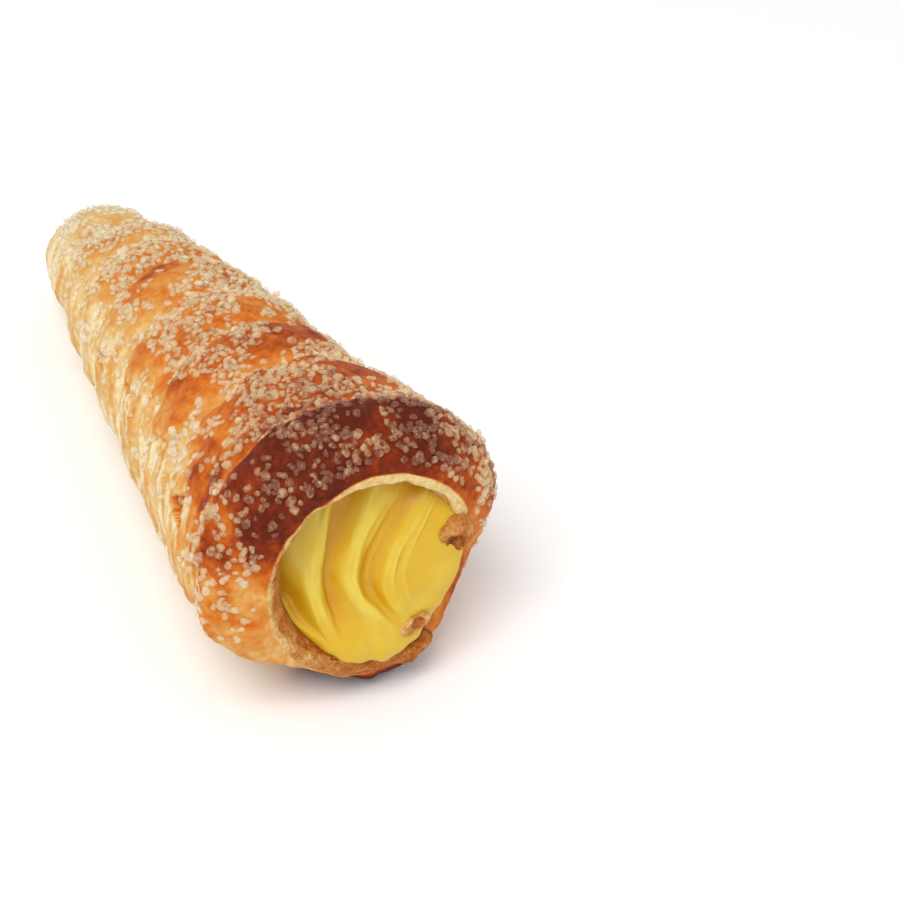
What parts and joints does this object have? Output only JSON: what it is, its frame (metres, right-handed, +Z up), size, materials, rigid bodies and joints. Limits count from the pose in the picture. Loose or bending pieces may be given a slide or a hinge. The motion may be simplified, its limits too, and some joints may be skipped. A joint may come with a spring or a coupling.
{
  "type": "cream horn pastry",
  "caption": "Wound puff pastry horn, sugared and baked brown, filled with piped yellow custard and lying on its side.",
  "frame": {"origin": "centre of the bounding box's base, on the surface that the horn rests on", "axes": "+X along the horn, from its tip to its open mouth; +Z up; +Y to the left when looking from the tip to the mouth"},
  "size_m": [0.13, 0.0486, 0.0474],
  "materials": {
    "baked_pastry": "egg-washed puff pastry, from pale cream at the tip to dark brown on the mouth's crest",
    "custard": "smooth glossy yellow custard"
  },
  "bodies": {
    "root": {"pastry_shell": "baked_pastry", "custard_filling": "custard"}
  },
  "joints": []
}
